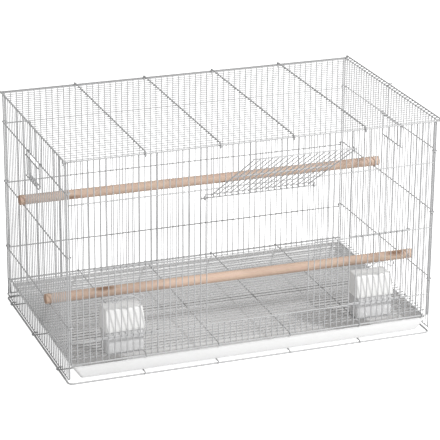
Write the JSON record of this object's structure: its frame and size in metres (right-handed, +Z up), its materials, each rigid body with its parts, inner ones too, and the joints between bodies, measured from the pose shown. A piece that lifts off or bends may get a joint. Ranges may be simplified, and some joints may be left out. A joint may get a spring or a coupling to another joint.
{
  "type": "bird flight cage",
  "caption": "Wide wire flight cage for small birds, front door swung up, feeder and nest doors, pull-out tray, hooded feeders and dowel perches.",
  "frame": {"origin": "bottom centre of the box round the whole part with its front door swung up; the base stands on Z = 0", "axes": "+Z up, -Y out of the front with the doors, +X to the viewer's right when facing the front"},
  "size_m": [0.7846, 0.697, 0.5053],
  "materials": {
    "wire": "satin white powder coat",
    "tray_plastic": "satin near-white",
    "clear_plastic": "clear moulded, faintly frosted",
    "white_plastic": "glossy white",
    "dowel": "bare turned softwood"
  },
  "bodies": {
    "cage": {"front_grille": "wire", "back_grille": "wire", "left_grille": "wire", "right_grille": "wire", "top_grille": "wire", "floor_grille": "wire", "base_frame": "wire", "base_runners": "wire", "base_cross_rods": "wire"},
    "tray": {"tray": "tray_plastic"},
    "front_door": {"front_door": "wire", "front_door_catch": "wire"},
    "left_feeder_door": {"left_feeder_door": "wire", "left_feeder_handle": "wire"},
    "right_feeder_door": {"right_feeder_door": "wire", "right_feeder_handle": "wire"},
    "left_bowl": {"left_bowl": "clear_plastic"},
    "right_bowl": {"right_bowl": "clear_plastic"},
    "left_hood": {"left_hood": "white_plastic"},
    "right_hood": {"right_hood": "white_plastic"},
    "left_nest_door": {"left_nest_door": "wire"},
    "right_nest_door": {"right_nest_door": "wire"},
    "upper_perch": {"upper_perch": "dowel"},
    "lower_perch": {"lower_perch": "dowel"}
  },
  "joints": [
    {"name": "tray_pull", "type": "slide", "parent": "cage", "child": "tray", "axis": [0, -1, 0], "range_m": [0, 0.42]},
    {"name": "front_door_hinge", "type": "hinge", "parent": "cage", "child": "front_door", "pos_m": [0, -0.11942, 0.35235], "axis": [1, 0, 0], "range_deg": [0, 123]},
    {"name": "left_feeder_door_lift", "type": "slide", "parent": "cage", "child": "left_feeder_door", "axis": [0, 0, 1], "range_m": [0, 0.13]},
    {"name": "right_feeder_door_lift", "type": "slide", "parent": "cage", "child": "right_feeder_door", "axis": [0, 0, 1], "range_m": [0, 0.13]},
    {"name": "left_bowl_lift", "type": "slide", "parent": "cage", "child": "left_bowl", "axis": [0, 0, 1], "range_m": [0, 0.06]},
    {"name": "right_bowl_lift", "type": "slide", "parent": "cage", "child": "right_bowl", "axis": [0, 0, 1], "range_m": [0, 0.06]},
    {"name": "left_hood_lift", "type": "slide", "parent": "left_bowl", "child": "left_hood", "axis": [0, 0, 1], "range_m": [0, 0.03]},
    {"name": "right_hood_lift", "type": "slide", "parent": "right_bowl", "child": "right_hood", "axis": [0, 0, 1], "range_m": [0, 0.03]},
    {"name": "left_nest_door_hinge", "type": "hinge", "parent": "cage", "child": "left_nest_door", "pos_m": [-0.383, 0.09868, 0.39365], "axis": [0, 1, 0], "range_deg": [0, 120]},
    {"name": "right_nest_door_hinge", "type": "hinge", "parent": "cage", "child": "right_nest_door", "pos_m": [0.383, 0.09868, 0.39365], "axis": [0, -1, 0], "range_deg": [0, 120]},
    {"name": "upper_perch_lift", "type": "slide", "parent": "cage", "child": "upper_perch", "axis": [0, 0, 1], "range_m": [0, 0.1]},
    {"name": "lower_perch_lift", "type": "slide", "parent": "cage", "child": "lower_perch", "axis": [0, 0, 1], "range_m": [0, 0.11]}
  ]
}
